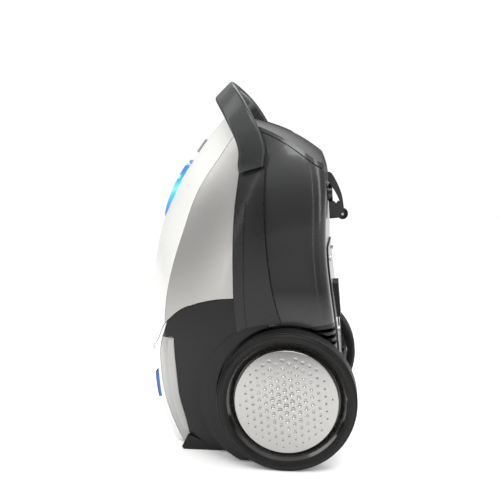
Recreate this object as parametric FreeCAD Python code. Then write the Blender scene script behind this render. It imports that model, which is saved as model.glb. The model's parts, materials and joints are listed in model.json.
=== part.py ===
"""Canister vacuum cleaner, standing on its rear end in its parking position.

Row frame, millimetres: +Z runs from the rear end (floor) to the handle at the front end,
-X is the side that faces up when the cleaner rolls, +X is the underside, and Y runs across.
The origin is on the floor, in the middle of the footprint.
"""
import FreeCAD
import Part
import math
import os

V = FreeCAD.Vector

# ---------------------------------------------------------------- driving dimensions
WALL = 2.6                 # moulded shell thickness
SEAM = 0.8                 # shut line between neighbouring covers
FIT = 0.3                  # clearance between parts that only sit next to each other
WHEEL_R = 75.0
WHEEL_X, WHEEL_Z = 48.0, WHEEL_R
WHEEL_IN, WHEEL_OUT = 106.0, 141.0     # inner and outer face of a wheel, from the mid-plane
WELL_R, WELL_Y = 78.5, 103.5           # wheel well radius and depth plane
POD_R, POD_X, POD_Z, POD_Y = 80.0, 31.0, 74.0, 115.0   # fender disc round the wheel
AXLE_R = 6.0
REAR_Z = 2.0               # the shell's rear wall stands this far off the floor
FRONT_X, FRONT_Z = -33.0, -2.0         # centre of the torus that domes the front end
FRONT_MAJOR, FRONT_MINOR = 209.0, 176.0
MOTOR_X, MOTOR_Y = 24.0, -28.0
REEL_X, REEL_Z, REEL_R = 8.0, 84.0, 62.0
PORT_X = 18.0              # hose port axis
PORT_R = 19.5              # hose port bore radius
PORT_Z0, PORT_Z1 = 341.5, 367.0        # ends of that bore; a wider mouth leads into it
HINGE_X, HINGE_Z = -116.5, 110.0       # lid hinge axis
KNUCKLE_R, PIN_R = 3.6, 1.5
KNOB = (-89.0, 0.0, 294.8)             # knob axis where it leaves the lid
KNOB_R, KNOB_TILT = 38.5, 24.2         # knob radius, and lean of its axis above -X, degrees
CASTER_FOOT = (86.8, 0.0, 292.0)       # caster swivel axis where it leaves the underside
ROLLER, ROLLER_R = (16.3, -25.0), 6.3  # roller centre from that foot: outward, and along the underside
CASTER_TILT = 3.6          # the underside's lean from vertical at the caster, degrees
CASTER_HALF = 14.5         # half width of the caster fork
BRACKET_FOOT = (98.0, 0.0, 147.0)      # where the parking bracket starts on the underside
BRACKET_TILT = 5.0         # its lean from vertical, degrees
BRACKET = (23.0, 16.0)     # half widths of the bracket and of its slot
OUTLET = (70.0, 66.0)      # cord outlet in the rear wall
LUG_X, LUG_Z, LUG_R = 9.0, 330.0, 5.0  # lugs that carry the handle
LATCH = (-62.0, 0.0, 348.0)            # middle of the lid latch
LATCH_LEAN = 38.0          # its lean, degrees
REWIND_Z = (46.5, 76.5)    # lower and upper end of the rewind button

# Longitudinal lines of the body: height above the floor against distance.
EDGE_A_X = [(-20, -74), (0, -85.5), (28, -98.5), (60, -105.5), (100, -110), (150, -114.5), (200, -112),
            (241, -105), (275, -94.5), (300, -82), (325, -68), (352, -50), (373, -33.5), (400, -9)]
EDGE_A_Y = [(-20, 46), (0, 50), (60, 56), (150, 59), (250, 59), (330, 57), (400, 52)]
EDGE_B_X = [(-20, -50), (0, -60), (20, -69), (55, -81), (95, -86.5), (149, -91.5), (183, -88.5),
            (206, -83.5), (240, -74), (273, -62.5), (301, -51), (349, -20), (373, -4), (400, 14)]
EDGE_B_Y = [(-20, 68), (0, 74), (20, 79), (60, 87), (110, 92), (160, 95), (250, 95), (300, 92),
            (345, 86), (373, 79), (400, 72)]
SIDE_Y = [(-20, 92), (0, 97), (40, 104), (90, 109), (150, 114), (210, 117.5), (265, 117.5), (300, 114.5),
          (330, 108), (352, 99), (375, 86), (400, 70)]
UNDER_X = [(-20, 80), (0, 86), (25, 97), (50, 103), (100, 102.5), (135, 99.5), (160, 96.2), (185, 92.7),
           (205, 89.8), (225, 88), (245, 87.4), (270, 87.2), (300, 86.5), (322, 84), (345, 78), (370, 66),
           (400, 46)]
SECTIONS = [-20, 8, 35, 70, 110, 150, 190, 230, 265, 295, 320, 342, 362, 382, 400]
SHOULDER_IN, SHOULDER_OUT, SIDE_IN = 36.0, 49.0, 68.0   # tangent angles from -Y, degrees
CORNER = 22.0
CROWN = 8.5                # control height of the arch across the lid side

# Seams drawn in the side view (x, z).
LID_FRONT = [(-36, 398), (-26, 380), (-17.5, 364), (-10.7, 351), (-6.3, 336), (-6.3, 318), (-9.7, 285),
             (-11.6, 254), (-12, 217), (-11.3, 180.5)]
LID_REAR = [(-140, 114), (-122, 114), (-109, 121), (-99, 136), (-91, 149), (-84, 156), (-73, 165),
            (-50, 174.3), (-31, 178.7), (-11.3, 180.5), (-2, 180.9)]
TRIM_IN = [(-88, 153), (-96, 131), (-102.5, 108), (-103, 95), (-99.7, 67), (-95.2, 49.5), (-87.9, 27.7),
           (-78.9, 4.8), (-74.5, -6)]
TRIM_OUT = [(-80.6, 133.2), (-80.2, 115), (-79, 97), (-75.5, 62), (-69.6, 36.5), (-67.4, 20), (-66.8, 8),
            (-66.6, -6)]
TRIM_TOP = 133.0
FRONT_SEAM = 3.3           # the front panel's shut line runs this far below the dome
LEG_SEAM = ((-30.0, 308.1), (40.0, 327.9))     # where a handle leg meets its side band
HOUSING_REAR = [(-14, 180.5), (8, 172), (28, 150), (42, 120), (46, 60), (46, -10)]
BAND_LEFT = [(-5.6, 316), (-9.0, 285), (-10.9, 254), (-11.3, 217), (-10.5, 180.5), (-7, 143), (-5, 130)]
BAND_RIGHT = [(22.2, 321), (21.8, 296), (22, 273), (23.1, 249), (26.2, 218), (31.2, 187), (40, 156),
              (47, 136)]
BAND_PROUD = 4.2           # the bands stand out from the housing by this
VENT = [(60, 148), (78, 152.5), (99, 154), (106, 150), (106, 121), (98, 125), (88, 134), (72, 143)]
HANDLE = [(8.2, 110.6, 317), (8.0, 110.8, 336), (4.2, 109.2, 354), (-4.0, 104.4, 371), (-13.0, 94.0, 387),
          (-21.5, 78.0, 399.5), (-26.3, 55.0, 405.5), (-28.0, 28.0, 407.5), (-28.4, 0.0, 408.0)]
HANDLE_W, HANDLE_T = 28.0, 12.5
SCOOP_X, SCOOP_Z, SCOOP_R, SCOOP_Y = -27.0, 408.0, 37.0, 46.0   # finger recess under the handle


# ---------------------------------------------------------------- small helpers
def along(table, z):
    """Smooth value of a line at height z: a cubic through its points with averaged slopes."""
    n = len(table)
    k = 0
    while k < n - 2 and z > table[k + 1][0]:
        k += 1
    (z0, a0), (z1, a1) = table[k], table[k + 1]

    def slope(i):
        lo, hi = max(i - 1, 0), min(i + 1, n - 1)
        return (table[hi][1] - table[lo][1]) / (table[hi][0] - table[lo][0])

    h = z1 - z0
    t = (z - z0) / h
    m0, m1 = slope(k) * h, slope(k + 1) * h
    return ((2 * t**3 - 3 * t**2 + 1) * a0 + (t**3 - 2 * t**2 + t) * m0
            + (-2 * t**3 + 3 * t**2) * a1 + (t**3 - t**2) * m1)


def bezier(*points):
    curve = Part.BezierCurve()
    curve.setPoles(list(points))
    return curve.toShape()


def spline(points):
    curve = Part.BSplineCurve()
    curve.interpolate([V(*p) for p in points])
    return curve


def box(x0, x1, y0, y1, z0, z1):
    return Part.makeBox(x1 - x0, y1 - y0, z1 - z0, V(x0, y0, z0))


def cyl(r, height, base, axis):
    return Part.makeCylinder(r, height, V(*base), V(*axis))


def ring(r_out, r_in, height, base, axis):
    return cyl(r_out, height, base, axis).cut(cyl(r_in, height, base, axis))


def prism_y(points, y0=-160.0, y1=160.0):
    """Straight-sided outline in (x, z), extruded across."""
    wire = Part.makePolygon([V(x, y0, z) for x, z in points] + [V(points[0][0], y0, points[0][1])])
    return Part.Face(wire).extrude(V(0, y1 - y0, 0))


def seam_y(points, width=SEAM, y0=-160.0, y1=160.0):
    """Thin wall that follows a smooth curve in (x, z) and runs right across."""
    curve = spline([(x, y0, z) for x, z in points])
    first, last = curve.FirstParameter, curve.LastParameter
    count = 3 * len(points)
    left, right = [], []
    for i in range(count + 1):
        u = first + (last - first) * i / count
        p, d = curve.value(u), curve.tangent(u)[0]
        n = V(-d.z, 0, d.x) * (width / 2)
        left.append(tuple(p + n))
        right.append(tuple(p - n))
    a, b = spline(left), spline(right)
    wire = Part.Wire([a.toShape(), Part.makeLine(V(*left[-1]), V(*right[-1])),
                      b.toShape(), Part.makeLine(V(*right[0]), V(*left[0]))])
    return Part.Face(wire).extrude(V(0, y1 - y0, 0))


def biggest(shape, count=1):
    return sorted(shape.Solids, key=lambda s: -s.Volume)[:count]


def softened(shape, radius, pick):
    """Fillet of the edges that pick() accepts, or the shape as it is if the fillet can't be made."""
    edges = [e for e in shape.Edges if pick(e)]
    for r in (radius, radius * 0.6):
        try:
            done = shape.makeFillet(r, edges)
            if done.isValid() and done.Volume > 0.5 * shape.Volume:
                return done
        except Exception:
            continue
    return shape


def save(name, shape):
    solids = shape.Solids
    assert solids, name
    out = solids[0] if len(solids) == 1 else Part.makeCompound(solids)
    assert all(s.isValid() and s.Volume > 0 for s in solids), name
    out.exportStep(os.path.join("parts", name + ".step"))


# ---------------------------------------------------------------- body surface
def section(z, inset=0.0):
    """Closed outline of the body at height z, pulled in by inset."""
    xa, ya = along(EDGE_A_X, z) + inset, along(EDGE_A_Y, z) - 0.35 * inset
    xb, yb = along(EDGE_B_X, z) + 0.75 * inset, along(EDGE_B_Y, z) - 0.85 * inset
    ys, xu = along(SIDE_Y, z) - inset, along(UNDER_X, z) - inset
    r = max(CORNER - inset, 7.0)
    half = []
    a, b = V(xa, -ya, z), V(xb, -yb, z)
    c, u = V(xu - r, -ys, z), V(xu, -ys + r, z)

    def toward(angle):
        return V(math.sin(math.radians(angle)), -math.cos(math.radians(angle)), 0)

    k = (b - a).Length / 3
    half.append([a, a + toward(SHOULDER_IN) * k, b - toward(SHOULDER_OUT) * k, b])
    k = (c - b).Length / 3
    half.append([b, b + toward(SIDE_IN) * k, c - toward(92) * k, c])
    k = 0.5523 * r
    half.append([c, c + toward(92) * k, u + V(0, -k, 0), u])
    edges = [bezier(V(xa, ya, z), V(xa - CROWN, ya / 3, z), V(xa - CROWN, -ya / 3, z), a)]
    edges += [bezier(*p) for p in half]
    edges.append(bezier(u, V(u.x, u.y / 3, z), V(u.x, -u.y / 3, z), V(u.x, -u.y, z)))
    for p in reversed(half):
        edges.append(bezier(*[V(q.x, -q.y, z) for q in reversed(p)]))
    return Part.Wire(edges)


def body_loft(inset=0.0):
    return Part.makeLoft([section(z, inset) for z in SECTIONS], True, False)


def front_cutter(inset=0.0):
    tube = Part.makeTorus(FRONT_MAJOR, FRONT_MINOR - inset, V(FRONT_X, 0, FRONT_Z), V(1, 0, 0))
    return box(-150, 150, -160, 160, 290, 460).cut(tube)


def rear_cutter(inset=0.0):
    """Below this the shell ends: flat near the floor, stepped up over the standing foot."""
    z, top, slip = REAR_Z + inset, 17 + inset, 0.6 * inset
    return prism_y([(-160, z), (-77.5 - slip, z), (-69.5 - slip, top), (-66, top), (-28, z), (160, z),
                    (160, -60), (-160, -60)])


def master(inset=0.0):
    """Whole outer volume of the housing: loft, fender discs, wheel wells, domed front."""
    shape = body_loft(inset)
    disc = cyl(POD_R - inset, 2 * (POD_Y - inset), (POD_X, -(POD_Y - inset), POD_Z), (0, 1, 0))
    disc = disc.common(box(-160, 44, -160, 160, 0, 300))
    shape = shape.fuse(disc)
    for side in (-1, 1):
        y = WELL_Y - inset
        shape = shape.cut(cyl(WELL_R + inset, 80, (WHEEL_X, side * y, WHEEL_Z), (0, side, 0)))
    return shape.cut(front_cutter(inset)).cut(rear_cutter(inset)).cut(scoop(inset))


def scoop(inset=0.0):
    """Finger recess across the front end, under the handle."""
    half = SCOOP_Y + inset
    return cyl(SCOOP_R + inset, 2 * half, (SCOOP_X, -half, SCOOP_Z), (0, 1, 0))


def outline_y(left, right, y0=-160.0, y1=160.0):
    """Region between two smooth curves in (x, z) with straight ends, extruded across."""
    a = spline([(x, y0, z) for x, z in left])
    b = spline([(x, y0, z) for x, z in reversed(right)])
    wire = Part.Wire([a.toShape(), Part.makeLine(a.EndPoint, b.StartPoint),
                      b.toShape(), Part.makeLine(b.EndPoint, a.StartPoint)])
    return Part.Face(wire).extrude(V(0, y1 - y0, 0))


def crease_wall(side, width=SEAM):
    """Thin wall through the shoulder crease, square to the skin, that parts white from silver."""
    wires = []
    for z in SECTIONS:
        b = V(along(EDGE_B_X, z), side * along(EDGE_B_Y, z), z)
        n, t = V(-0.53, side * 0.848, 0), V(0.848, side * 0.53, 0)
        p = [b + n * 9 + t * (width / 2), b + n * 9 - t * (width / 2),
             b - n * 9 - t * (width / 2), b - n * 9 + t * (width / 2)]
        wires.append(Part.makePolygon(p + [p[0]]))
    return Part.makeLoft(wires, True, False)


def slab(inset, z0, z1, x0=-200.0, x1=200.0):
    """Slice of the body, pulled in by inset, between two heights and two depths."""
    return body_loft(inset).common(box(x0, x1, -200, 200, z0, z1))


def turned(shape, foot, angle):
    """Part drawn with its axis along +X, leaned up by angle and moved to foot."""
    out = shape.copy()
    out.rotate(V(0, 0, 0), V(0, 1, 0), -angle)
    out.translate(V(*foot))
    return out


def lathe(profile, x, z, side):
    """Solid of revolution about a cross axis, from (radius, distance from the mid-plane) points."""
    points = [V(x + r, side * y, z) for r, y in profile]
    face = Part.Face(Part.makePolygon(points + [points[0]]))
    return face.revolve(V(x, 0, z), V(0, 1, 0), 360)


# ---------------------------------------------------------------- housing shells
def shell_parts():
    """All covers that share the outer skin, parted along their shut lines."""
    skin = master().cut(master(WALL))
    cap = box(-97, -80.2, -160, 160, TRIM_TOP - SEAM / 2, TRIM_TOP + SEAM / 2)
    walls = [seam_y(line) for line in (LID_FRONT, LID_REAR, HOUSING_REAR, TRIM_IN, TRIM_OUT)]
    found = {}
    for piece in biggest(skin.cut(walls + [cap]), 5):
        c = piece.CenterOfMass
        if c.z > 190 and c.x < 0:
            found["lid"] = piece
        elif c.x > 40:
            found["housing"] = piece
        elif c.x < -95:
            found["rear_top_panel"] = piece
        elif c.x < -60:
            found["rear_trim"] = piece
        else:
            found["rear_cover"] = piece
    return found


def split_housing(housing):
    """Front panel, lower housing and the pair of vent panels let into its sides."""
    window = prism_y(VENT).cut(box(-200, 200, -90, 90, 0, 300))
    front = housing.common(front_cutter(FRONT_SEAM))
    lower = housing.cut(front_cutter(FRONT_SEAM + SEAM))
    vents = lower.common(window)
    return biggest(front)[0], biggest(lower.cut(window))[0], biggest(vents, 2)


def vent_grille(panel):
    middle = panel.CenterOfMass
    grille = panel.copy()
    grille.scale(0.985, middle)
    for k in range(3):
        z = 146.5 - 7.4 * k
        left = 69 + 8 * k
        slot = [(left, z + 1.2), (left + 3, z - 2.6), (99.5, z - 1.2), (100.5, z + 3.0)]
        grille = grille.cut(prism_y(slot))
    return grille


def split_lid(lid):
    pieces = biggest(lid.cut([crease_wall(-1), crease_wall(1)]), 3)
    pieces.sort(key=lambda s: s.CenterOfMass.y)
    return pieces[1], pieces[0], pieces[2]


def band(side, skin_out):
    """Dark upright band on one side, proud of the housing, with a bevel along its front edge."""
    near, far = sorted((0, side * 160))
    region = outline_y(BAND_LEFT, BAND_RIGHT, near, far)
    top = prism_y(list(LEG_SEAM) + [(40, 400), (-30, 400)])
    piece = body_loft(-BAND_PROUD).common(region).cut([top, skin_out])
    pod = cyl(POD_R + FIT, 400, (POD_X, -200, POD_Z), (0, 1, 0))
    well = cyl(WELL_R + 2.4, 400, (WHEEL_X, -200, WHEEL_Z), (0, 1, 0))
    piece = biggest(piece.cut([pod, well]))[0]
    groove = seam_y([(x + 11.5, z) for x, z in BAND_LEFT[1:-1]], 1.0)
    shallow = body_loft(-BAND_PROUD - 1).cut(body_loft(-BAND_PROUD + 0.9))
    return biggest(piece.cut(groove.common(shallow)))[0]


def handle():
    """Hoop handle: a flat bar swept up one side, across the front end and down the other."""
    half = [V(x, -y, z) for x, y, z in HANDLE]
    path = half + [V(p.x, -p.y, p.z) for p in reversed(half[:-1])]
    wires = []
    for i, p in enumerate(path):
        q, r = path[max(i - 1, 0)], path[min(i + 1, len(path) - 1)]
        tangent = (r - q).normalize()
        rise = min(max((p.z - 330) / 65.0, 0.0), 1.0)
        lean = math.radians(45.0 * rise)
        w = V(math.cos(lean), 0, math.sin(lean))
        w = (w - tangent * w.dot(tangent)).normalize()
        n = tangent.cross(w).normalize()
        a, b = w * (HANDLE_W / 2), n * (HANDLE_T / 2)
        c, d = w * (HANDLE_W / 2 - 4), n * (HANDLE_T / 2 - 4)
        corners = []
        for u, v in ((1, 1), (-1, 1), (-1, -1), (1, -1)):
            first, second = p + a * u + d * v, p + c * u + b * v
            if u * v < 0:
                first, second = second, first
            corners.append((first, p + a * u + b * v, second))
        edges = []
        for k, (first, tip, second) in enumerate(corners):
            edges.append(bezier(first, tip, second))
            edges.append(Part.makeLine(second, corners[(k + 1) % 4][0]))
        wires.append(Part.Wire(edges))
    return Part.makeLoft(wires, True, False)


def save_housing():
    parts = shell_parts()
    front, lower, vents = split_housing(parts["housing"])
    top, right, left = split_lid(parts["lid"])
    outer = master(-0.15)
    save("side_vents", Part.makeCompound([vent_grille(panel) for panel in vents]))

    # handle, its two lugs and the bands below it
    floor = prism_y([(x, z + SEAM) for x, z in LEG_SEAM] + [(40, 250), (-30, 250)])
    bar = biggest(handle().cut([floor, outer]))[0]
    lugs = [cyl(LUG_R, 12, (LUG_X, side * 113, LUG_Z), (0, -side, 0)) for side in (-1, 1)]
    lug_holes = [cyl(LUG_R + 0.2, 30, (LUG_X, side * 125, LUG_Z), (0, -side, 0)) for side in (-1, 1)]
    save("handle", bar.fuse(lugs))
    save("side_band_right", band(-1, outer))
    save("side_band_left", band(1, outer))

    # front panel with the hose port
    def port(r, z0=PORT_Z0):
        return cyl(r, 60, (PORT_X, 0, z0), (0, 0, 1))

    flush = [front_cutter(-0.6), scoop(-0.6)]
    save("front_panel", front.cut([port(PORT_R + 2.8, 330)] + lug_holes))
    collar = biggest(port(PORT_R + 7).cut(flush + [outer]))[0]
    tube = port(PORT_R + 2.5).cut(flush)
    save("hose_port", tube.fuse(collar).cut([port(PORT_R, 330), port(PORT_R + 1.1, PORT_Z1)]))
    save("hose_port_seal", ring(PORT_R + 2.4, PORT_R - 3, 2.0, (PORT_X, 0, 339.2), (0, 0, 1)))

    # lower housing: caster boss hole, axle holes, screw holes, cord outlet
    holes = list(lug_holes)
    holes += [cyl(AXLE_R + 0.2, 60, (WHEEL_X, side * 90, WHEEL_Z), (0, side, 0)) for side in (-1, 1)]
    holes += [cyl(1.3, 12, (24, side * 120, 331.2), (0, -side, 0)) for side in (-1, 1)]
    holes.append(turned(cyl(9.2, 30, (-15, 0, 0), (1, 0, 0)), CASTER_FOOT, CASTER_TILT))
    holes.append(cyl(7.2, 20, (*OUTLET, -5), (0, 0, 1)))
    holes += [bracket_block(FIT)] + screw_rods(2.1, -10, 20)
    save("lower_housing", biggest(lower.cut(holes))[0])
    axle_holes = [cyl(AXLE_R + 0.2, 60, (WHEEL_X, side * 90, WHEEL_Z), (0, side, 0)) for side in (-1, 1)]
    grille_hole = box(-22, 38, -62, 62, -5, 8)
    save("rear_cover", parts["rear_cover"].cut(axle_holes + [grille_hole]))
    save("rear_trim", parts["rear_trim"])

    # rear top panel with its half of the lid hinge and the rewind button's window
    notches = [box(-126, -108, s - 0.5, e + 0.5, 104.5, 122) for s, e in ((-40, -20), (20, 40))]
    knuckle = cyl(KNUCKLE_R, 38.8, (HINGE_X, -19.4, HINGE_Z), (0, 1, 0))
    pin_hole = cyl(PIN_R + 0.05, 90, (HINGE_X, -45, HINGE_Z), (0, 1, 0))
    panel = parts["rear_top_panel"].cut(notches).fuse(knuckle)
    panel = panel.cut([pin_hole, rewind_block(0.5)])
    save("rear_top_panel", biggest(panel)[0])
    save("lid_hinge_pin", cyl(PIN_R, 79, (HINGE_X, -39.5, HINGE_Z), (0, 1, 0)))

    # lid: white top with knuckles, knob seat and latch window; silver sides; inner frame and seal
    barrels = []
    for s in (-40.0, 20.2):
        barrels.append(cyl(KNUCKLE_R, 19.8, (HINGE_X, s, HINGE_Z), (0, 1, 0)))
        barrels.append(box(HINGE_X - 1.6, HINGE_X + 1.9, s, s + 19.8, HINGE_Z, 118))
    seat = turned_knob(cyl(KNOB_R + 1.5, 12, (-12, 0, 0), (1, 0, 0))).cut(master(WALL))
    clear = cyl(KNUCKLE_R + 0.5, 39.6, (HINGE_X, -19.8, HINGE_Z), (0, 1, 0))
    top = top.cut(clear).fuse(barrels).fuse(biggest(seat)[0])
    top = top.cut(turned_knob(cyl(KNOB_R + 1.9, 30, (0, 0, 0), (1, 0, 0))))
    stem_hole = turned_knob(cyl(4.3, 60, (-40, 0, 0), (1, 0, 0)))
    save("lid_top", biggest(top.cut([pin_hole, stem_hole, latch_block(0.5, 4.5)]))[0])
    save("lid_side_right", right)
    save("lid_side_left", left)
    frame = slab(3.0, 185, 348, -17, -13.6).cut(slab(11, 192, 338, -30, 0))
    save("lid_frame", biggest(frame.cut(front_cutter(4)))[0])
    seal = slab(4.6, 184.5, 346, -13.4, -9.7).cut(slab(8.0, 188, 342.5, -30, 10))
    save("lid_seal", biggest(seal)[0])


# ---------------------------------------------------------------- controls on top
def turned_knob(shape):
    """Place a part drawn along +X on the knob's axis."""
    out = shape.copy()
    out.rotate(V(0, 0, 0), V(0, 0, 1), 180)
    out.rotate(V(0, 0, 0), V(0, 1, 0), KNOB_TILT)
    out.translate(V(*KNOB))
    return out


def latch_block(grow=0.0, travel=0.0):
    """Latch slider body on the lid's front slope; it slides up toward the handle."""
    block = box(-9 - grow, 8 + grow, -13 - grow, 13 + grow, -9 - grow, 9 + grow + travel)
    block.rotate(V(0, 0, 0), V(0, 1, 0), LATCH_LEAN)
    block.translate(V(*LATCH))
    return block


def rewind_block(grow=0.0):
    return box(-124, -92, -31 - grow, 31 + grow, REWIND_Z[0] - grow, REWIND_Z[1] + grow)


def save_controls():
    ring_part = Part.makeCone(KNOB_R + 1.5, KNOB_R + 0.7, 2.6, V(0.3, 0, 0), V(1, 0, 0))
    ring_part = ring_part.cut(cyl(14, 20, (-5, 0, 0), (1, 0, 0)))
    save("knob_light_ring", turned_knob(ring_part))
    base, edge, rise = 3.2, 2.2, 4.2
    dome_r = (KNOB_R**2 + rise**2) / (2 * rise)
    dome = Part.makeSphere(dome_r, V(base + edge + rise - dome_r, 0, 0))
    disc = cyl(KNOB_R, 10, (base, 0, 0), (1, 0, 0)).common(dome)
    knob = disc.fuse([cyl(12.5, 3, (2.0, 0, 0), (1, 0, 0)), cyl(4.05, 20, (-16, 0, 0), (1, 0, 0))])
    save("power_knob", turned_knob(knob))
    pot = box(-20, -8, -9, 9, -9, 9).cut(cyl(4.1, 30, (-16.3, 0, 0), (1, 0, 0)))
    save("power_regulator", turned_knob(pot))

    cap = latch_block().common(body_loft(-6.5)).cut(body_loft(8))
    save("lid_latch", softened(cap, 1.5, lambda e: e.Length > 15 and e.BoundBox.XMax < -55))
    button = rewind_block().common(body_loft(-6.5)).cut(body_loft(12))
    save("rewind_button", button)


# ---------------------------------------------------------------- wheels
def save_wheel(side, name):
    x, z = WHEEL_X, WHEEL_Z
    out, inn = WHEEL_OUT, WHEEL_IN
    r = WHEEL_R
    tyre = lathe([(64.0, inn + 2), (r - 3, inn + 1), (r, inn + 4), (r, out - 6), (r - 1.2, out - 3.2),
                  (r - 2.4, out - 1.6), (r - 5.0, out - 0.8), (64.6, out - 2.2), (64.0, out - 3.0)], x, z, side)
    bore = AXLE_R + 0.05
    hub = lathe([(bore, inn + 3), (12, inn + 3), (12, 121), (60, 121), (60, inn + 3), (63.7, inn + 3),
                 (63.7, out - 2.6), (57.2, out - 9), (57.2, 125), (12, 125), (12, 129), (bore, 129)], x, z, side)
    ribs = []
    for k in range(6):
        rib = box(x + 11, x + 60.5, -2, 2, z - 1.2, z + 1.2)
        rib.translate(V(0, side * 117, 0))
        rib.rotate(V(x, 0, z), V(0, 1, 0), 60 * k)
        ribs.append(rib)
    hub = hub.fuse([b.common(box(-200, 200, *sorted((side * 113, side * 121.2)), -50, 250)) for b in ribs])
    cap = lathe([(0, 136.4), (30, 135.7), (51, 133.6), (53.2, 132.4), (53.2, 125.3), (55.4, 125.3),
                 (55.4, 136.6), (54.6, 137.6), (30, 139.9), (0, 140.9)], x, z, side)
    save("tyre_" + name, tyre)
    save("wheel_hub_" + name, hub)
    save("wheel_cap_" + name, cap)


def save_axles():
    """Stub axles riveted through the well walls, each with a retaining clip."""
    x, z = WHEEL_X, WHEEL_Z
    axles, clips = [], []
    for side in (-1, 1):
        axles.append(lathe([(0, 96), (15, 96), (15, 100.4), (AXLE_R, 100.4), (AXLE_R, 129.4), (4.6, 129.4),
                            (4.6, 130.8), (AXLE_R, 130.8), (5.2, 133), (0, 133)], x, z, side))
        clips.append(lathe([(4.62, 129.6), (9.5, 129.6), (9.5, 130.6), (4.62, 130.6)], x, z, side))
    save("wheel_axles", Part.makeCompound(axles))
    save("axle_clips", Part.makeCompound(clips))


# ---------------------------------------------------------------- caster on the underside
def save_caster():
    """Swivel fork with an arched shroud over one roller; drawn with its swivel axis along +X."""
    def placed(shape):
        return turned(shape, CASTER_FOOT, CASTER_TILT)

    socket = cyl(9.0, 20.2, (-20, 0, 0), (1, 0, 0)).cut(cyl(5.05, 40, (-25, 0, 0), (1, 0, 0)))
    save("caster_socket", placed(socket))

    half, roller_half = CASTER_HALF, 11.0
    hub = cyl(12, 5.0, (0.5, 0, 0), (1, 0, 0))
    stem = cyl(5.0, 20.2, (-19.5, 0, 0), (1, 0, 0))
    block = prism_y([(0.8, -29.5), (0.8, -9), (6.6, -9.8), (9.2, -12.8), (9.2, -29.2)], -half, half)
    cheek = [(9, -29.2), (9, -12.6), (11.8, -9.5), (14, -11), (17.6, -13), (18.0, -18), (17.6, -25),
             (15.4, -28.6)]
    cheeks = [prism_y(cheek, y, y + 3) for y in (-half, half - 3)]
    shroud = prism_y([(1.0, 25.8), (3.4, 25.4), (5.6, 23.8), (8.4, 19.0), (12.0, 10.8), (14.6, 4), (16.2, -1.5),
                      (17.3, -8), (17.8, -14), (14.8, -14), (13.2, -8.5), (11.3, -3.4), (8.3, 3), (4.9, 8.8),
                      (1.0, 15.2)], -half, half)
    pin_hole = cyl(1.5, 40, (ROLLER[0], -20, ROLLER[1]), (0, 1, 0))
    save("caster_fork", placed(hub.fuse([stem, block, shroud] + cheeks).cut(pin_hole)))
    save("caster_pin", placed(cyl(1.5, 2 * half, (ROLLER[0], -half, ROLLER[1]), (0, 1, 0))))
    roller = ring(ROLLER_R, 1.55, 2 * roller_half, (ROLLER[0], -roller_half, ROLLER[1]), (0, 1, 0))
    save("caster_roller", placed(roller))


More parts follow.
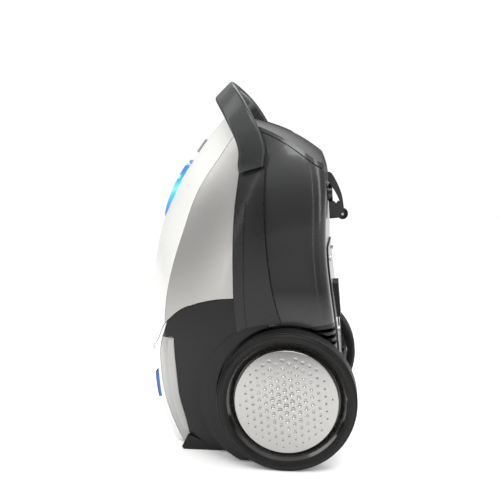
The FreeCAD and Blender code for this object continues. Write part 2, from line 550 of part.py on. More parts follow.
# ---------------------------------------------------------------- inside
def save_inside():
    # dust chamber with its bag
    tub = slab(5.0, 182, 347, -9.6, 200).cut(front_cutter(5.0)).cut(slab(7.4, 185.6, 344.5, -20, 200))
    cutouts = [cyl(26, 9, (MOTOR_X, MOTOR_Y, 178), (0, 0, 1)),
               cyl(PORT_R + 2.8, 80, (PORT_X, 0, 330), (0, 0, 1)),
               turned(cyl(9.4, 60, (-30, 0, 0), (1, 0, 0)), CASTER_FOOT, CASTER_TILT)]
    save("dust_chamber", biggest(tub.cut(cutouts))[0])
    stations = [(196, 50), (201, 41), (214, 34), (250, 32), (290, 32), (312, 35), (323, 43), (328, 50)]
    swing = cyl(136, 400, (HINGE_X, -200, HINGE_Z), (0, 1, 0))     # swept by the lid's frame as it opens
    save("dust_bag", Part.makeLoft([section(z, inset) for z, inset in stations], True, False).cut(swing))
    holder = box(PORT_X - 30, PORT_X + 30, -38, 38, 333.6, 335.8)
    holder = holder.fuse(ring(PORT_R + 2, PORT_R - 1, 3.2, (PORT_X, 0, 335.8), (0, 0, 1)))
    save("bag_holder", holder.cut(cyl(PORT_R - 1, 20, (PORT_X, 0, 325), (0, 0, 1))))
    save("pre_motor_filter", box(MOTOR_X - 29, MOTOR_X + 31, MOTOR_Y - 30, MOTOR_Y + 30, 185.9, 191.4))

    # motor and fan, upright behind the chamber
    def motor(r, z0, z1):
        return cyl(r, z1 - z0, (MOTOR_X, MOTOR_Y, z0), (0, 0, 1))

    save("motor_seal", motor(44, 168.2, 181.8).cut(motor(25, 160, 190)))
    fan = motor(56, 128, 168).cut([motor(54, 130, 166), motor(22, 160, 170), motor(14, 120, 131)])
    slots = []
    for k in range(12):
        slot = box(MOTOR_X + 50, MOTOR_X + 60, MOTOR_Y - 4, MOTOR_Y + 4, 132, 146)
        slot.rotate(V(MOTOR_X, MOTOR_Y, 0), V(0, 0, 1), 30 * k)
        slots.append(slot)
    save("fan_housing", fan.cut(slots))
    impeller = motor(50, 140, 141.5).fuse(motor(9, 140, 160))
    blades = []
    for k in range(9):
        blade = box(MOTOR_X + 8, MOTOR_X + 49, MOTOR_Y - 0.7, MOTOR_Y + 0.7, 141, 158)
        blade.rotate(V(MOTOR_X + 8, MOTOR_Y, 0), V(0, 0, 1), 24)
        blade.rotate(V(MOTOR_X, MOTOR_Y, 0), V(0, 0, 1), 40 * k)
        blades.append(blade)
    impeller = impeller.fuse(blades).fuse(motor(50, 157.5, 159).cut(motor(21, 150, 165)))
    save("fan_impeller", impeller.cut(motor(4.0, 100, 200)))
    save("motor_shaft", motor(4.0, 53, 163))
    stator = motor(46, 78, 124).cut(motor(35, 70, 130))
    flats = [box(MOTOR_X - 60, MOTOR_X + 60, MOTOR_Y + 38, MOTOR_Y + 60, 70, 130),
             box(MOTOR_X - 60, MOTOR_X + 60, MOTOR_Y - 60, MOTOR_Y - 38, 70, 130)]
    save("motor_stator", biggest(stator.cut(flats))[0])
    armature = motor(34, 82, 118).fuse([motor(24, 76, 124), motor(13, 64, 76)])
    for k in range(12):
        slot = box(MOTOR_X + 26, MOTOR_X + 40, MOTOR_Y - 1.5, MOTOR_Y + 1.5, 80, 120)
        slot.rotate(V(MOTOR_X, MOTOR_Y, 0), V(0, 0, 1), 30 * k)
        armature = armature.cut(slot)
    save("motor_armature", armature.cut(motor(4.0, 50, 130)))
    bracket = motor(46, 56, 127.7).cut([motor(44, 59, 123.8), motor(37, 122, 130), motor(4.05, 50, 60)])
    windows = []
    for k in range(4):
        window = box(MOTOR_X + 20, MOTOR_X + 60, MOTOR_Y - 20, MOTOR_Y + 20, 64, 120)
        window.rotate(V(MOTOR_X, MOTOR_Y, 0), V(0, 0, 1), 45 + 90 * k)
        windows.append(window)
    bracket = bracket.cut(windows).cut(motor(46.2, 77.8, 124.2).cut(motor(20, 70, 130)))
    save("motor_frame", biggest(bracket)[0])
    brushes = [box(MOTOR_X + 13.3, MOTOR_X + 28, MOTOR_Y - 3, MOTOR_Y + 3, 66, 73),
               box(MOTOR_X - 28, MOTOR_X - 13.3, MOTOR_Y - 3, MOTOR_Y + 3, 66, 73)]
    save("carbon_brushes", Part.makeCompound(brushes))
    save("motor_mount", motor(30, 46.3, 55.8).cut(motor(12, 40, 60)))
    tray = box(MOTOR_X - 54, MOTOR_X + 48, -78, 32, 43, 46).cut(motor(12, 40, 60))
    save("motor_tray", tray)

    # cord reel
    def reel(r, y0, y1):
        return cyl(r, y1 - y0, (REEL_X, y0, REEL_Z), (0, 1, 0))

    plates = reel(26, 36.5, 38.5).fuse(reel(26, 91.5, 93.5))
    arms = [box(REEL_X - 5, REEL_X + 5, y, y + 2, REEL_Z - 66, REEL_Z - 20) for y in (36.5, 91.5)]
    foot = box(REEL_X - 18, REEL_X + 18, 36.5, 93.5, REEL_Z - 68, REEL_Z - 65)
    frame = plates.fuse(arms + [foot, reel(5, 36.5, 93.5)])
    save("cord_reel_frame", frame)
    drum = reel(REEL_R, 40, 42).fuse([reel(REEL_R, 87, 89), reel(26, 40, 89)])
    drum = drum.cut([reel(22, 44, 87), reel(5.05, 30, 95)])
    save("cord_reel_drum", drum)
    save("reel_spring", reel(19, 48, 60).cut(reel(8, 40, 70)))
    gland = cyl(7.0, 8, (*OUTLET, 1), (0, 0, 1)).fuse(cyl(9.5, 2, (*OUTLET, 4.9), (0, 0, 1)))
    save("cord_outlet", gland.cut(cyl(3.6, 20, (*OUTLET, -5), (0, 0, 1))))

    # exhaust
    save("exhaust_filter", box(-20, 36, -60, 60, 6.4, 15.5))
    grille = box(-21.7, 37.7, -61.7, 61.7, 2.6, 5.4)
    bars = [box(-18, 34, y, y + 5, 0, 8) for y in range(-58, 56, 9)]
    save("rear_grille", grille.cut(bars))
    board = box(-66, -64.4, -64, 16, 76, 142)
    save("control_board", board.fuse([box(-80, -65.9, -50, -30, 92, 117), cyl(8, 18, (-83.9, -8, 102), (1, 0, 0)),
                                      box(-75, -65.9, -56, 8, 126, 134)]))


# ---------------------------------------------------------------- underside and feet
SCREWS = [(y, z) for z in (66, 142, 222) for y in (-70, 70)]


def screw_rods(r, start, length):
    """One short rod at each screw of the underside plate, from start outward past the skin."""
    return [cyl(r, length, (along(UNDER_X, z) + start, y, z), (1, 0, 0)) for y, z in SCREWS]


def bracket_block(grow=0.0):
    """Outer block of the parking bracket; its lower half lies open as a run-in for the hook."""
    half = BRACKET[0] + grow
    block = box(-2.0 - 9 * grow, 5.9 + 9 * grow, -half, half, -20 - grow, 40 + grow)
    return turned(block, BRACKET_FOOT, BRACKET_TILT)


def save_underside():
    foot = prism_y([(-74, 0), (-75.9, 3.2), (-68.9, 16.6), (-66.2, 16.6), (-29.2, 2.0), (-30, 0)], -82, 82)
    save("rear_foot", softened(foot, 2.5, lambda e: abs(e.BoundBox.YLength) < 1 and e.Length > 10))
    plate = body_loft(-2.0).cut(body_loft(-0.2)).common(box(60, 200, -78, 78, 54, 234))
    save("underside_plate", biggest(plate.cut([bracket_block(FIT)] + screw_rods(2.1, -10, 20)))[0])
    shanks, heads = screw_rods(1.9, -4.2, 7.4), screw_rods(3.6, 2.9, 1.6)
    save("underside_screws", Part.makeCompound([s.fuse(h) for s, h in zip(shanks, heads)]))
    wide, slot = BRACKET
    hollow = [box(-0.8, 4.5, -slot, slot, -30, 36), box(-0.8, 10, -wide - 1, wide + 1, -30, 0)]
    save("parking_bracket", bracket_block().cut([turned(h, BRACKET_FOOT, BRACKET_TILT) for h in hollow]))


os.makedirs("parts", exist_ok=True)
save_housing()
save_controls()
save_wheel(-1, "right")
save_wheel(1, "left")
save_axles()
save_caster()
save_inside()
save_underside()
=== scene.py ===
"""Looks of the canister vacuum cleaner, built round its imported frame.

Metres, row frame: +Z runs from the rear end up to the handle, -X is the lid side and -Y faces
the camera.  CAD nodes get their materials here.  The tyres, the wheel caps, the dust bag and the
foam filter are rebuilt as finer meshes that stand for their CAD nodes, and a grey facet is laid on
the light trim strip.  Every other part keeps its CAD shape.
"""
import json
import math

import bmesh
import bpy
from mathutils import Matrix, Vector, noise
from mathutils.bvhtree import BVHTree


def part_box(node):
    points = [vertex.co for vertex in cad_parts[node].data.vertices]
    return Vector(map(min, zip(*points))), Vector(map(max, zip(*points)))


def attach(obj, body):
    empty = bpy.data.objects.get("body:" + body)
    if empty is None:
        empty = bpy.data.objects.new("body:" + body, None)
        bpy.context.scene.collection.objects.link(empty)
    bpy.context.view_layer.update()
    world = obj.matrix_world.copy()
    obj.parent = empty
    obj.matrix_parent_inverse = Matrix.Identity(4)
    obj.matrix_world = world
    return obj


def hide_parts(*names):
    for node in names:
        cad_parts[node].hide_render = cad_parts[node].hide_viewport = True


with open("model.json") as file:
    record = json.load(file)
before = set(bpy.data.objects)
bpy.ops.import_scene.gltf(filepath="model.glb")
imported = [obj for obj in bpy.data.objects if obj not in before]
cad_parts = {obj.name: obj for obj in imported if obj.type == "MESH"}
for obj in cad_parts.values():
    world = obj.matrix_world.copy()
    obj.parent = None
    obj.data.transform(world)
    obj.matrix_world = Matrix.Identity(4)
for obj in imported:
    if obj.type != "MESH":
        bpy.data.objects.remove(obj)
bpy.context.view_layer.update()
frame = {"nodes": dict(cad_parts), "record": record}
NODES = frame["nodes"]
MM = 0.001
TAU = 2 * math.pi
SIDES = (("right", -1), ("left", 1))  # wheel name and the sign of its side's y


# ---------------------------------------------------------------- camera, floor and light
CAMERA_AT = Vector((0.10739, -0.96102, 0.31580))
CAMERA_TURN = math.radians(6.78)      # looks this much towards -X
CAMERA_DIP = math.radians(5.48)       # and this much down
LENS_MM = 57.55
LIGHTS_AIM = (0.0, 0.0, 0.2)          # middle of the cleaner
FLOOR_HALF = 30.0
GLOSS_SKY = ((0.48, 0.45), (0.52, 0.10), (0.62, 0.12), (0.76, 1.0))   # (height in the sky, grey)


def set_camera():
    data = bpy.data.cameras.new("camera")
    data.lens = LENS_MM
    data.sensor_width = 36.0
    data.clip_start = 0.01
    camera = bpy.data.objects.new("camera", data)
    bpy.context.scene.collection.objects.link(camera)
    ahead = Vector((-math.sin(CAMERA_TURN) * math.cos(CAMERA_DIP),
                    math.cos(CAMERA_TURN) * math.cos(CAMERA_DIP), -math.sin(CAMERA_DIP)))
    camera.location = CAMERA_AT
    camera.rotation_euler = ahead.to_track_quat("-Z", "Y").to_euler()
    bpy.context.scene.camera = camera


def area_light(name, at, size, power):
    data = bpy.data.lights.new(name, "AREA")
    data.shape = "RECTANGLE"
    data.size, data.size_y = size
    data.energy = power
    light = bpy.data.objects.new(name, data)
    bpy.context.scene.collection.objects.link(light)
    light.location = at
    light.rotation_euler = (Vector(LIGHTS_AIM) - Vector(at)).to_track_quat("-Z", "Y").to_euler()


def set_studio():
    world = bpy.data.worlds.new("studio")
    bpy.context.scene.world = world
    world.use_nodes = True
    sky_for_gloss(world.node_tree)
    bpy.context.scene.view_settings.view_transform = "Standard"
    area_light("key_left", (-1.3, -0.5, 1.2), (0.7, 1.5), 8)
    area_light("top_back", (0.3, 0.6, 1.5), (1.2, 0.6), 10)
    area_light("rim_right", (1.1, -0.1, 0.8), (0.3, 1.3), 5)
    area_light("top_front", (0.25, -1.3, 1.7), (1.1, 0.5), 12)
    area_light("strip_left", (-0.75, -1.5, 0.45), (0.07, 1.3), 1.6)
    area_light("strip_right", (1.0, -1.0, 0.45), (0.07, 1.3), 1.2)
    add_floor()


def sky_for_gloss(tree):
    """White surroundings; reflections meet them grey at eye level and bright overhead."""
    nodes, links = tree.nodes, tree.links
    split = nodes.new("ShaderNodeSeparateXYZ")
    links.new(nodes.new("ShaderNodeTexCoord").outputs["Generated"], split.inputs["Vector"])
    height = nodes.new("ShaderNodeMapRange")
    height.inputs["From Min"].default_value = -1.0
    links.new(split.outputs["Z"], height.inputs["Value"])
    ramp = nodes.new("ShaderNodeValToRGB")
    while len(ramp.color_ramp.elements) < len(GLOSS_SKY):
        ramp.color_ramp.elements.new(0.5)
    for element, (at, grey) in zip(ramp.color_ramp.elements, GLOSS_SKY):
        element.position = at
        element.color = (grey, grey, grey, 1)
    links.new(height.outputs["Result"], ramp.inputs["Fac"])
    pick = nodes.new("ShaderNodeMix")
    pick.data_type = "RGBA"
    pick.inputs["A"].default_value = (1, 1, 1, 1)
    links.new(nodes.new("ShaderNodeLightPath").outputs["Is Glossy Ray"], pick.inputs["Factor"])
    links.new(ramp.outputs["Color"], pick.inputs["B"])
    links.new(pick.outputs["Result"], nodes["Background"].inputs["Color"])


def add_floor():
    half = FLOOR_HALF
    corners = [(-half, -half, 0), (half, -half, 0), (half, half, 0), (-half, half, 0)]
    mesh = bpy.data.meshes.new("floor")
    mesh.from_pydata(corners, [], [(0, 1, 2, 3)])
    mesh.materials.append(plain_floor())
    floor = bpy.data.objects.new("floor", mesh)
    bpy.context.scene.collection.objects.link(floor)


def plain_floor():
    kit = Shader("floor")
    kit.set("Base Color", (0.96, 0.96, 0.955, 1))
    kit.set("Roughness", 0.6)
    kit.set("Specular IOR Level", 0.0)
    kit.set("Emission Color", (1, 1, 1, 1))
    kit.set("Emission Strength", 0.06)
    return kit.material


# ---------------------------------------------------------------- material kit
class Shader:
    """Small helper round one node material with a Principled shader."""

    def __init__(self, name):
        self.material = bpy.data.materials.new(name)
        self.material.use_nodes = True
        self.nodes = self.material.node_tree.nodes
        self.links = self.material.node_tree.links
        self.main = self.nodes["Principled BSDF"]
        self.place = self.add("ShaderNodeTexCoord").outputs["Object"]

    def add(self, kind, **settings):
        node = self.nodes.new(kind)
        for key, value in settings.items():
            setattr(node, key, value)
        return node

    def set(self, socket, value):
        self.main.inputs[socket].default_value = value

    def join(self, source, socket):
        self.links.new(source, socket)

    def noise(self, scale, detail=3.0, rough=0.5, stretch=None):
        node = self.add("ShaderNodeTexNoise")
        node.inputs["Scale"].default_value = scale
        node.inputs["Detail"].default_value = detail
        node.inputs["Roughness"].default_value = rough
        source = self.place
        if stretch:
            mapping = self.add("ShaderNodeMapping")
            mapping.inputs["Scale"].default_value = stretch
            self.join(source, mapping.inputs["Vector"])
            source = mapping.outputs["Vector"]
        self.join(source, node.inputs["Vector"])
        return node.outputs["Fac"]

    def cells(self, scale):
        node = self.add("ShaderNodeTexVoronoi", feature="F1")
        node.inputs["Scale"].default_value = scale
        self.join(self.place, node.inputs["Vector"])
        return node

    def ramp(self, source, stops):
        node = self.add("ShaderNodeValToRGB")
        ramp = node.color_ramp
        while len(ramp.elements) < len(stops):
            ramp.elements.new(0.5)
        for element, (at, colour) in zip(ramp.elements, stops):
            element.position = at
            element.color = colour if len(colour) == 4 else (*colour, 1)
        self.join(source, node.inputs["Fac"])
        return node.outputs["Color"]

    def span(self, source, low, high, to_low, to_high):
        node = self.add("ShaderNodeMapRange")
        for key, value in (("From Min", low), ("From Max", high), ("To Min", to_low), ("To Max", to_high)):
            node.inputs[key].default_value = value
        self.join(source, node.inputs["Value"])
        return node.outputs["Result"]

    def fade(self, colour, stops):
        """Painted shade and highlight: multiply a colour by a factor that runs with height; stops are
        (height, factor).
        """
        split = self.add("ShaderNodeSeparateXYZ")
        self.join(self.place, split.inputs["Vector"])
        low, high = stops[0][0], stops[-1][0]
        level = self.span(split.outputs["Z"], low, high, 0.0, 1.0)
        factors = self.ramp(level, [((z - low) / (high - low), (f, f, f)) for z, f in stops])
        mix = self.add("ShaderNodeMix", data_type="RGBA", blend_type="MULTIPLY")
        mix.inputs["Factor"].default_value = 1.0
        self.join(colour, mix.inputs["A"])
        self.join(factors, mix.inputs["B"])
        return mix.outputs["Result"]

    def maths(self, operation, a, b=0.0):
        node = self.add("ShaderNodeMath", operation=operation)
        for socket, value in zip(node.inputs, (a, b)):
            if isinstance(value, (int, float)):
                socket.default_value = value
            else:
                self.join(value, socket)
        return node.outputs["Value"]

    def bump(self, height, strength, distance, below=None):
        node = self.add("ShaderNodeBump")
        node.inputs["Strength"].default_value = strength
        node.inputs["Distance"].default_value = distance
        self.join(height, node.inputs["Height"])
        if below is not None:
            self.join(below, node.inputs["Normal"])
        self.join(node.outputs["Normal"], self.main.inputs["Normal"])
        return node.outputs["Normal"]


def shade(colour, factor):
    """Colour made lighter or darker, with alpha."""
    return tuple(min(1.0, c * factor) for c in colour) + (1,)


def moulded(name, colour, rough, coat=0.0, shine=0.5, grain=0.02, vary=0.06, fade=None):
    """Moulded or painted plastic: faint mottling, uneven gloss, a fine grain and a little orange peel."""
    kit = Shader(name)
    broad = kit.noise(22.0, 4.0, 0.55)
    tone = kit.ramp(broad, [(0.3, shade(colour, 1 - vary)), (0.7, shade(colour, 1 + vary))])
    # painted shade and highlight by height, when stops are given
    kit.join(kit.fade(tone, fade) if fade else tone, kit.main.inputs["Base Color"])
    fine = kit.noise(160.0, 5.0, 0.6)
    kit.join(kit.span(fine, 0.25, 0.75, rough - 0.05, rough + 0.05), kit.main.inputs["Roughness"])
    kit.set("Specular IOR Level", shine)
    kit.set("Coat Weight", coat)
    kit.set("Coat Roughness", 0.08)
    peel = kit.bump(kit.noise(420.0, 2.0, 0.4), 0.04, 0.0004)
    kit.bump(kit.noise(2600.0, 2.0, 0.5), grain, 0.00006, peel)
    return kit.material


def metallic_paint(name, colour, rough, metal, coat, flake, shine=0.5, fade=None):
    """Paint with metal flake under a clear coat."""
    kit = Shader(name)
    flakes = kit.cells(9000.0)
    broad = kit.noise(14.0, 3.0, 0.5)
    tone = kit.ramp(broad, [(0.25, shade(colour, 0.985)), (0.75, shade(colour, 1.015))])
    sparkle = kit.add("ShaderNodeMix", data_type="RGBA", blend_type="SOFT_LIGHT")
    sparkle.inputs["Factor"].default_value = flake
    kit.join(tone, sparkle.inputs["A"])
    kit.join(flakes.outputs["Color"], sparkle.inputs["B"])
    grey = kit.add("ShaderNodeHueSaturation")
    grey.inputs["Saturation"].default_value = 0.55
    kit.join(sparkle.outputs["Result"], grey.inputs["Color"])
    painted = grey.outputs["Color"]
    # painted shade and highlight by height, when stops are given
    kit.join(kit.fade(painted, fade) if fade else painted, kit.main.inputs["Base Color"])
    fine = kit.noise(220.0, 4.0, 0.6)
    kit.join(kit.span(fine, 0.25, 0.75, rough - 0.015, rough + 0.02), kit.main.inputs["Roughness"])
    kit.set("Metallic", metal)
    kit.set("Coat Weight", coat)
    kit.set("Coat Roughness", 0.06)
    kit.set("Specular IOR Level", shine)
    kit.bump(kit.noise(350.0, 2.0, 0.4), 0.02, 0.0003)
    return kit.material


def steel(name, colour, rough=0.3, stretch=(1, 1, 60)):
    """Bare metal with fine drawn or turned lines."""
    kit = Shader(name)
    lines = kit.noise(220.0, 6.0, 0.7, stretch)
    kit.join(kit.ramp(lines, [(0.3, shade(colour, 0.85)), (0.7, shade(colour, 1.1))]),
             kit.main.inputs["Base Color"])
    kit.join(kit.span(lines, 0.3, 0.7, rough - 0.08, rough + 0.1), kit.main.inputs["Roughness"])
    kit.set("Metallic", 1.0)
    kit.bump(lines, 0.08, 0.0001)
    return kit.material


def rubber(name, colour, rough):
    """Rubber with a little dust and a fine pitted surface."""
    kit = Shader(name)
    dust = kit.noise(60.0, 6.0, 0.65)
    kit.join(kit.ramp(dust, [(0.35, shade(colour, 0.8)), (0.75, shade(colour, 1.6))]),
             kit.main.inputs["Base Color"])
    kit.join(kit.span(dust, 0.3, 0.7, rough - 0.06, rough + 0.08), kit.main.inputs["Roughness"])
    kit.set("Specular IOR Level", 0.25)
    kit.bump(kit.noise(3200.0, 3.0, 0.6), 0.12, 0.0001)
    return kit.material


def blue_painted_highlight(name, centre, reach):
    """Tinted clear plastic with a painted glow and highlight: emission and colour brightest at middle
    height, deep blue towards its ends.
    """
    kit = Shader(name)
    split = kit.add("ShaderNodeSeparateXYZ")
    kit.join(kit.place, split.inputs["Vector"])
    away = kit.maths("ABSOLUTE", kit.maths("SUBTRACT", split.outputs["Z"], centre[2]))
    # painted highlight: emission strongest at the knob's middle height, dimming towards its ends
    painted_highlight_level = kit.span(away, 0.0, reach, 1.0, 0.0)
    murk = kit.noise(60.0, 3.0, 0.5)
    level = kit.maths("MULTIPLY", painted_highlight_level, kit.span(murk, 0.3, 0.7, 0.85, 1.0))
    painted_highlight_colours = [(0.0, (0.01, 0.06, 0.22)), (0.35, (0.0, 0.16, 0.50)), (0.7, (0.0, 0.42, 0.80)),
                    (1.0, (0.45, 1.0, 1.0))]
    kit.join(kit.ramp(level, painted_highlight_colours), kit.main.inputs["Emission Color"])
    kit.join(kit.ramp(level, [(0.0, (0.004, 0.05, 0.20)), (1.0, (0.02, 0.25, 0.5))]),
             kit.main.inputs["Base Color"])
    kit.set("Emission Strength", 0.85)
    kit.set("Roughness", 0.12)
    kit.set("Coat Weight", 0.6)
    kit.bump(kit.noise(300.0, 2.0, 0.4), 0.03, 0.0003)
    return kit.material


def cloth(name, colour, scale, strength=0.4):
    """Non-woven or woven cloth: two crossing thread waves over felted noise."""
    kit = Shader(name)
    weave = []
    for direction in ("X", "Z"):
        wave = kit.add("ShaderNodeTexWave", wave_type="BANDS", bands_direction=direction)
        wave.inputs["Scale"].default_value = scale
        wave.inputs["Distortion"].default_value = 1.5
        kit.join(kit.place, wave.inputs["Vector"])
        weave.append(wave.outputs["Fac"])
    threads = kit.maths("MULTIPLY", *weave)
    felt = kit.noise(900.0, 6.0, 0.7)
    mixed = kit.maths("ADD", kit.maths("MULTIPLY", threads, 0.5), kit.maths("MULTIPLY", felt, 0.6))
    kit.join(kit.ramp(mixed, [(0.1, shade(colour, 0.82)), (0.8, shade(colour, 1.05))]),
             kit.main.inputs["Base Color"])
    kit.set("Roughness", 0.9)
    kit.set("Sheen Weight", 0.3)
    kit.bump(mixed, strength, 0.0003)
    return kit.material


# ---------------------------------------------------------------- materials by record slot
# (height, factor) pairs: shading with height that stands in for the photograph's reflections
HOUSING_PAINTED_SHADE = ((0.02, 0.9), (0.10, 1.3), (0.17, 0.4), (0.19, 0.05), (0.23, 0.2), (0.34, 0.8))
BAND_PAINTED_SHADE = ((0.18, 0.05), (0.30, 0.08), (0.35, 0.45), (0.42, 0.6))
REAR_PAINTED_SHADE = ((0.02, 1.0), (0.12, 1.0), (0.21, 0.2))
KNOB_PAINTED_HIGHLIGHT_REACH = 36 * MM


def knob_middle():
    low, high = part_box("power_knob")
    return (low + high) / 2


def slot_materials():
    return {
        # housing_grey, dark_grey and rear_grey carry painted shade and highlight by height
        "housing_grey": metallic_paint("housing_grey", (0.062, 0.063, 0.066), 0.22, 0.35, 0.2, 0.03, 0.3,
                                       HOUSING_PAINTED_SHADE),
        "dark_grey": moulded("dark_grey", (0.06, 0.062, 0.062), 0.30, coat=0.12, shine=0.35, fade=BAND_PAINTED_SHADE),
        "rear_grey": moulded("rear_grey", (0.012, 0.0123, 0.0123), 0.22, coat=0.05, shine=0.2,
                             fade=REAR_PAINTED_SHADE),
        "silver_lid": metallic_paint("silver_lid", (0.35, 0.337, 0.32), 0.30, 0.6, 0.2, 0.02),
        "white_gloss": moulded("white_gloss", (0.62, 0.62, 0.605), 0.22, coat=0.3, vary=0.015, grain=0.006),
        "silver_trim": metallic_paint("silver_trim", (0.27, 0.27, 0.257), 0.30, 0.4, 0.25, 0.03),
        "blue_clear": blue_painted_highlight("blue_clear", knob_middle(), KNOB_PAINTED_HIGHLIGHT_REACH),
        "black_plastic": moulded("black_plastic", (0.006, 0.006, 0.006), 0.38, shine=0.3),
        "hub_grey": moulded("hub_grey", (0.006, 0.0055, 0.005), 0.13, coat=0.5, grain=0.006),
        "cap_silver": metallic_paint("cap_silver", (0.40, 0.387, 0.373), 0.20, 0.9, 0.0, 0.02),
        "tyre_rubber": rubber("tyre_rubber", (0.0035, 0.0035, 0.0035), 0.38),
        "seal_rubber": rubber("seal_rubber", (0.01, 0.01, 0.01), 0.7),
        "natural_nylon": moulded("natural_nylon", (0.62, 0.60, 0.52), 0.5, grain=0.04),
        "inner_plastic": moulded("inner_plastic", (0.10, 0.105, 0.11), 0.5, grain=0.05),
        "bag_paper": cloth("bag_paper", (0.74, 0.72, 0.67), 420.0),
        "filter_cloth": cloth("filter_cloth", (0.80, 0.82, 0.82), 600.0, 0.3),
        "filter_foam": cloth("filter_foam", (0.03, 0.03, 0.033), 250.0, 0.8),
        "plated_steel": steel("plated_steel", (0.60, 0.60, 0.60)),
        "motor_steel": steel("motor_steel", (0.30, 0.31, 0.32), 0.45, (1, 1, 300)),
        "alloy": steel("alloy", (0.72, 0.72, 0.73), 0.28, (40, 40, 1)),
        "copper_black": steel("copper_black", (0.32, 0.15, 0.07), 0.4, (1, 1, 120)),
        "carbon": moulded("carbon", (0.02, 0.02, 0.02), 0.6),
        "board_green": moulded("board_green", (0.02, 0.10, 0.04), 0.35, coat=0.4),
    }


def paint_nodes(materials):
    slots = {s["node"]: s["material_slot"] for s in frame["record"]["subparts"]}
    for name, node in NODES.items():
        node.data.materials.clear()
        node.data.materials.append(materials[slots[name]])


# ---------------------------------------------------------------- pieces
def finish_piece(name, build, slot, body, replaced=(), sharp=32.0):
    """Turn a bmesh into an object that rides on a body and takes a slot's material."""
    bmesh.ops.recalc_face_normals(build, faces=build.faces)
    mesh = bpy.data.meshes.new(name)
    build.to_mesh(mesh)
    build.free()
    mesh.shade_smooth()
    mesh.set_sharp_from_angle(angle=math.radians(sharp))
    mesh.materials.append(MATERIALS[slot])
    piece = bpy.data.objects.new(name, mesh)
    bpy.context.scene.collection.objects.link(piece)
    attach(piece, body)
    if replaced:
        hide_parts(*replaced)
    return piece


def skin_loops(build, loops, closed=True):
    """Quads between neighbouring loops of vertices; closed joins the last loop to the first."""
    pairs = list(zip(loops, loops[1:] + loops[:1])) if closed else list(zip(loops, loops[1:]))
    for one, two in pairs:
        count = len(one)
        for i in range(count):
            j = (i + 1) % count
            build.faces.new((one[i], one[j], two[j], two[i]))


def rounded(points, radius=0.6 * MM, steps=3):
    """Profile with each corner cut by a short arc, no longer than a third of its neighbours."""
    out = []
    count = len(points)
    for i, (r, y) in enumerate(points):
        here = Vector((r, y))
        before, after = Vector(points[i - 1]), Vector(points[(i + 1) % count])
        reach = min(radius, (before - here).length / 3, (after - here).length / 3)
        a = here + (before - here).normalized() * reach
        b = here + (after - here).normalized() * reach
        for k in range(steps + 1):
            t = k / steps
            q = a * (1 - t) ** 2 + here * (2 * t * (1 - t)) + b * t**2
            out.append((q.x, q.y))
    return out


def turned_piece(name, profile, hub, side, slot, body, replaced, steps):
    """Solid of revolution about a wheel's axis; profile is (radius, distance from the mid-plane)."""
    build = bmesh.new()
    outline = rounded(profile)
    loops = []
    for k in range(steps):
        angle = TAU * k / steps
        c, s = math.cos(angle), math.sin(angle)
        loops.append([build.verts.new((hub.x + r * c, side * y, hub.z + r * s)) for r, y in outline])
    skin_loops(build, loops)
    return finish_piece(name, build, slot, body, replaced)


DIMPLE_PITCH, DIMPLE_COLUMN = 8.1 * MM, 7.0 * MM     # along a column, and from column to column
DIMPLE_LEAN = math.radians(5.5)
DIMPLE_REACH = 49.5 * MM                             # no dimples beyond this radius
DIMPLE_DROP = 3.0 * MM                               # the field's middle below the hub
DIMPLE_MID_MM, DIMPLE_SHRINK_MM = 2.95, 1.7          # radius at the middle, and what it loses outwards
DIMPLE_DEPTH, DIMPLE_LIP = 0.55, 0.03                # over the dimple's radius
CAP_STEPS, CAP_RINGS = 360, 104
CAP_EDGE, CAP_CROWN = 54.4 * MM, 3.3 * MM
# the cap's rolled rim and back: (radius, distance inwards from its outer face), both in mm
CAP_BACK = ((55.0, 3.55), (55.35, 4.1), (55.4, 4.9), (55.4, 15.7), (53.2, 15.7), (53.2, 8.6), (51.0, 7.4),
            (30.0, 5.3), (1.0, 4.6))
# the tyre's outer shoulder and wall: (less than the tyre's radius, inwards from its face), both in mm
TYRE_WALL = ((0, 5.0), (0.3, 3.4), (1.3, 2.6), (1.7, 3.0), (2.1, 2.2), (5.0, 0.85), (8.4, 1.5), (8.8, 2.1),
             (9.2, 1.8))
TREAD_RIBS, TREAD_FIRST, TREAD_PITCH = 7, 6.5 * MM, 3.4 * MM
TREAD_GROOVE = 0.9 * MM
TYRE_STEPS = 192


def dimple_centres():
    """Hexagonal field of dimples on a wheel cap: (x, z, radius), larger towards the middle."""
    found = []
    for i in range(-8, 9):
        for j in range(-8, 9):
            u = i * DIMPLE_COLUMN
            v = (j + 0.5 * (i % 2)) * DIMPLE_PITCH - DIMPLE_DROP
            x = u * math.cos(DIMPLE_LEAN) - v * math.sin(DIMPLE_LEAN)
            z = u * math.sin(DIMPLE_LEAN) + v * math.cos(DIMPLE_LEAN)
            away = math.hypot(x, z)
            if away < DIMPLE_REACH:
                found.append((x, z, (DIMPLE_MID_MM - DIMPLE_SHRINK_MM * away / DIMPLE_REACH) * MM))
    return found


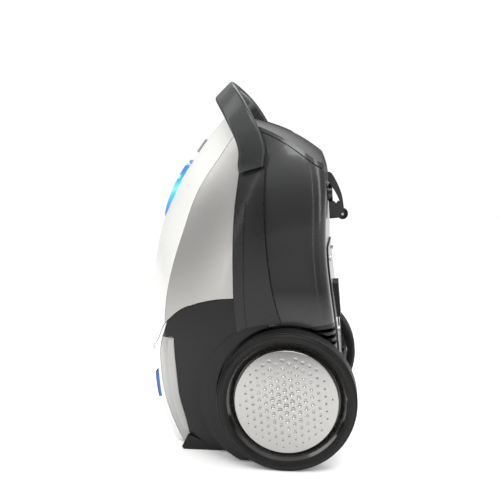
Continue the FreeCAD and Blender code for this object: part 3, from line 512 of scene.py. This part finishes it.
def cap_piece(name, hub, side, outer, body):
    """Crowned silver wheel cap: fine polar skin with pressed dimples, a rolled rim and a plain back."""
    build = bmesh.new()
    turns = [(math.cos(TAU * i / CAP_STEPS), math.sin(TAU * i / CAP_STEPS)) for i in range(CAP_STEPS)]
    dimples = dimple_centres()

    def front(x, z):
        y = outer - 0.1 * MM - CAP_CROWN * (x * x + z * z) / CAP_EDGE**2
        for cx, cz, r in dimples:
            d = math.hypot(x - cx, z - cz) / r
            if d < 1.35:
                y -= DIMPLE_DEPTH * r * max(0.0, 1 - d * d)
                y += DIMPLE_LIP * r * math.exp(-((d - 1.05) / 0.12) ** 2)
        return y

    loops = []
    for k in range(CAP_RINGS):
        r = CAP_EDGE * (k + 1) / CAP_RINGS
        loops.append([build.verts.new((hub.x + r * c, side * front(r * c, r * s), hub.z + r * s))
                      for c, s in turns])
    for radius, inwards in CAP_BACK:
        r, y = radius * MM, outer - inwards * MM
        loops.append([build.verts.new((hub.x + r * c, side * y, hub.z + r * s)) for c, s in turns])
    skin_loops(build, loops, closed=False)
    build.faces.new(loops[0])
    build.faces.new(loops[-1])
    finish_piece(name, build, "cap_silver", body, [name.replace("dimpled", "wheel")], 50.0)


def wheel(word, side):
    """Ribbed tyre and dimpled cap; the hub between them keeps its CAD shape."""
    low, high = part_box("tyre_" + word)
    hub = (low + high) / 2
    r = (high.x - low.x) / 2
    ends = sorted((abs(low.y), abs(high.y)))
    inn, out = ends[0] - 1 * MM, ends[1] + 0.8 * MM
    body = "wheel_" + word
    groove = r - TREAD_GROOVE
    tyre = [(64.0 * MM, inn + 2 * MM), (r - 3 * MM, inn + 1 * MM), (r, inn + 4 * MM)]
    for k in range(TREAD_RIBS):
        y = inn + TREAD_FIRST + TREAD_PITCH * k
        tyre += [(r, y), (r, y + 2.2 * MM), (groove, y + 2.6 * MM), (groove, y + 3.0 * MM)]
    tyre += [(r - less * MM, out - inwards * MM) for less, inwards in TYRE_WALL]
    tyre += [(64.5 * MM, out - 2.3 * MM), (64.0 * MM, out - 3.0 * MM)]
    turned_piece("tyre_ribbed_" + word, tyre, hub, side, "tyre_rubber", body, ["tyre_" + word], TYRE_STEPS)
    cap_low, cap_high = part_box("wheel_cap_" + word)
    cap_out = max(abs(cap_low.y), abs(cap_high.y))
    cap_piece("dimpled_cap_" + word, hub, side, cap_out, body)


def side_skin(node):
    """Ray target made of a CAD node's mesh."""
    mesh = NODES[node].data
    return BVHTree.FromPolygons([v.co for v in mesh.vertices], [p.vertices for p in mesh.polygons])


def skin_point(tree, x, z, side):
    """Point and normal where a ray from one side meets the skin, or None."""
    hit = tree.ray_cast(Vector((x, side * 0.3, z)), Vector((0, -side, 0)))
    return (hit[0], hit[1]) if hit[0] is not None and hit[0].y * side > 0.03 else None


def strip_edges(tree, low, high, z, side):
    """First and last x at which a strip shows its skin at one height."""
    step = 0.4 * MM
    seen = []
    for k in range(int((high.x - low.x) / step)):
        x = low.x + k * step
        if skin_point(tree, x, z, side):
            seen.append(x)
    return (seen[0], seen[-1]) if len(seen) > 8 else None


def trim_facet(side, word):
    """Thin grey facet laid over the outer part of the light trim strip."""
    tree = side_skin("rear_trim")
    low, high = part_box("rear_trim")
    build = bmesh.new()
    loops = []
    lanes, rows = 5, 60
    for k in range(rows):
        z = low.z + 20 * MM + (high.z - low.z - 22 * MM) * k / (rows - 1)
        edges = strip_edges(tree, low, high, z, side)
        if not edges:
            continue
        left, right = edges[0] + 0.56 * (edges[1] - edges[0]), edges[1] - 0.5 * MM
        over, under = [], []
        for i in range(lanes):
            found = skin_point(tree, left + (right - left) * i / (lanes - 1), z, side)
            if found:
                over.append(build.verts.new(found[0] + found[1] * 0.35 * MM))
                under.append(build.verts.new(found[0] - found[1] * 0.5 * MM))
        if len(over) == lanes:
            loops.append(over + under[::-1])
    skin_loops(build, loops, closed=False)
    build.faces.new(loops[0])
    build.faces.new(loops[-1])
    finish_piece("trim_facet_" + word, build, "silver_lid", "housing")


CLOTH_FRAMES = 20
CLOTH_CAP = 2.2 * MM


def soft_copy(node, name, voxel, inset):
    """Remeshed copy of a soft CAD solid, drawn in a little so that it can swell."""
    piece = bpy.data.objects.new(name, NODES[node].data.copy())
    bpy.context.scene.collection.objects.link(piece)
    apply_modifier(piece, "REMESH", mode="VOXEL", voxel_size=voxel, use_smooth_shade=True)
    mesh = piece.data
    drawn = [v.co - v.normal * inset for v in mesh.vertices]
    for vertex, at in zip(mesh.vertices, drawn):
        vertex.co = at
    return piece


def apply_modifier(piece, kind, **settings):
    modifier = piece.modifiers.new(kind.lower(), kind)
    for key, value in settings.items():
        setattr(modifier, key, value)
    bake_modifiers(piece)


def bake_modifiers(piece):
    """Replace the mesh by what its modifiers make of it, and drop them."""
    graph = bpy.context.evaluated_depsgraph_get()
    mesh = bpy.data.meshes.new_from_object(piece.evaluated_get(graph))
    piece.modifiers.clear()
    piece.data = mesh


def swell(piece, pressure, frames, cap):
    """Cloth under inner pressure, each point held to a short way from where it began."""
    start = [v.co.copy() for v in piece.data.vertices]
    cloth_settings = piece.modifiers.new("cloth", "CLOTH").settings
    cloth_settings.use_pressure = True
    cloth_settings.uniform_pressure_force = pressure
    cloth_settings.effector_weights.gravity = 0
    cloth_settings.quality = 5
    for frame_number in range(1, frames + 1):
        bpy.context.scene.frame_set(frame_number)
    bake_modifiers(piece)
    bpy.context.scene.frame_set(1)
    for vertex, home in zip(piece.data.vertices, start):
        move = vertex.co - home
        if move.length > cap:
            vertex.co = home + move * (cap / move.length)


def wrinkle(piece, depth, scale):
    """Soft creases: each point moves along its normal, mostly inwards, by smooth noise."""
    mesh = piece.data
    moved = []
    for vertex in mesh.vertices:
        wave = noise.noise(vertex.co * scale) + 0.5 * noise.noise(vertex.co * scale * 2.3)
        moved.append(vertex.co - vertex.normal * (depth * (0.5 + 0.5 * wave)))
    for vertex, at in zip(mesh.vertices, moved):
        vertex.co = at


def soft_piece(node, name, slot, body, voxel, inset, creases, pressure=0.0):
    """Soft part that stands for its CAD solid; creases is (depth, scale), and pressure swells it."""
    piece = soft_copy(node, name, voxel, inset)
    if pressure:
        swell(piece, pressure, CLOTH_FRAMES, CLOTH_CAP)
    wrinkle(piece, *creases)
    apply_modifier(piece, "SUBSURF", levels=1, render_levels=1)
    piece.data.materials.clear()
    piece.data.materials.append(MATERIALS[slot])
    piece.data.shade_smooth()
    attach(piece, body)
    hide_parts(node)


MATERIALS = slot_materials()
set_camera()
set_studio()
paint_nodes(MATERIALS)
for WORD, SIDE in SIDES:
    wheel(WORD, SIDE)
    trim_facet(SIDE, WORD)
soft_piece("dust_bag", "paper_dust_bag", "bag_paper", "housing", 5 * MM, 2.4 * MM,
           (1.6 * MM, 38.0), pressure=4.0)
soft_piece("pre_motor_filter", "foam_filter", "filter_foam", "housing", 2.5 * MM, 0.3 * MM,
           (0.25 * MM, 700.0))
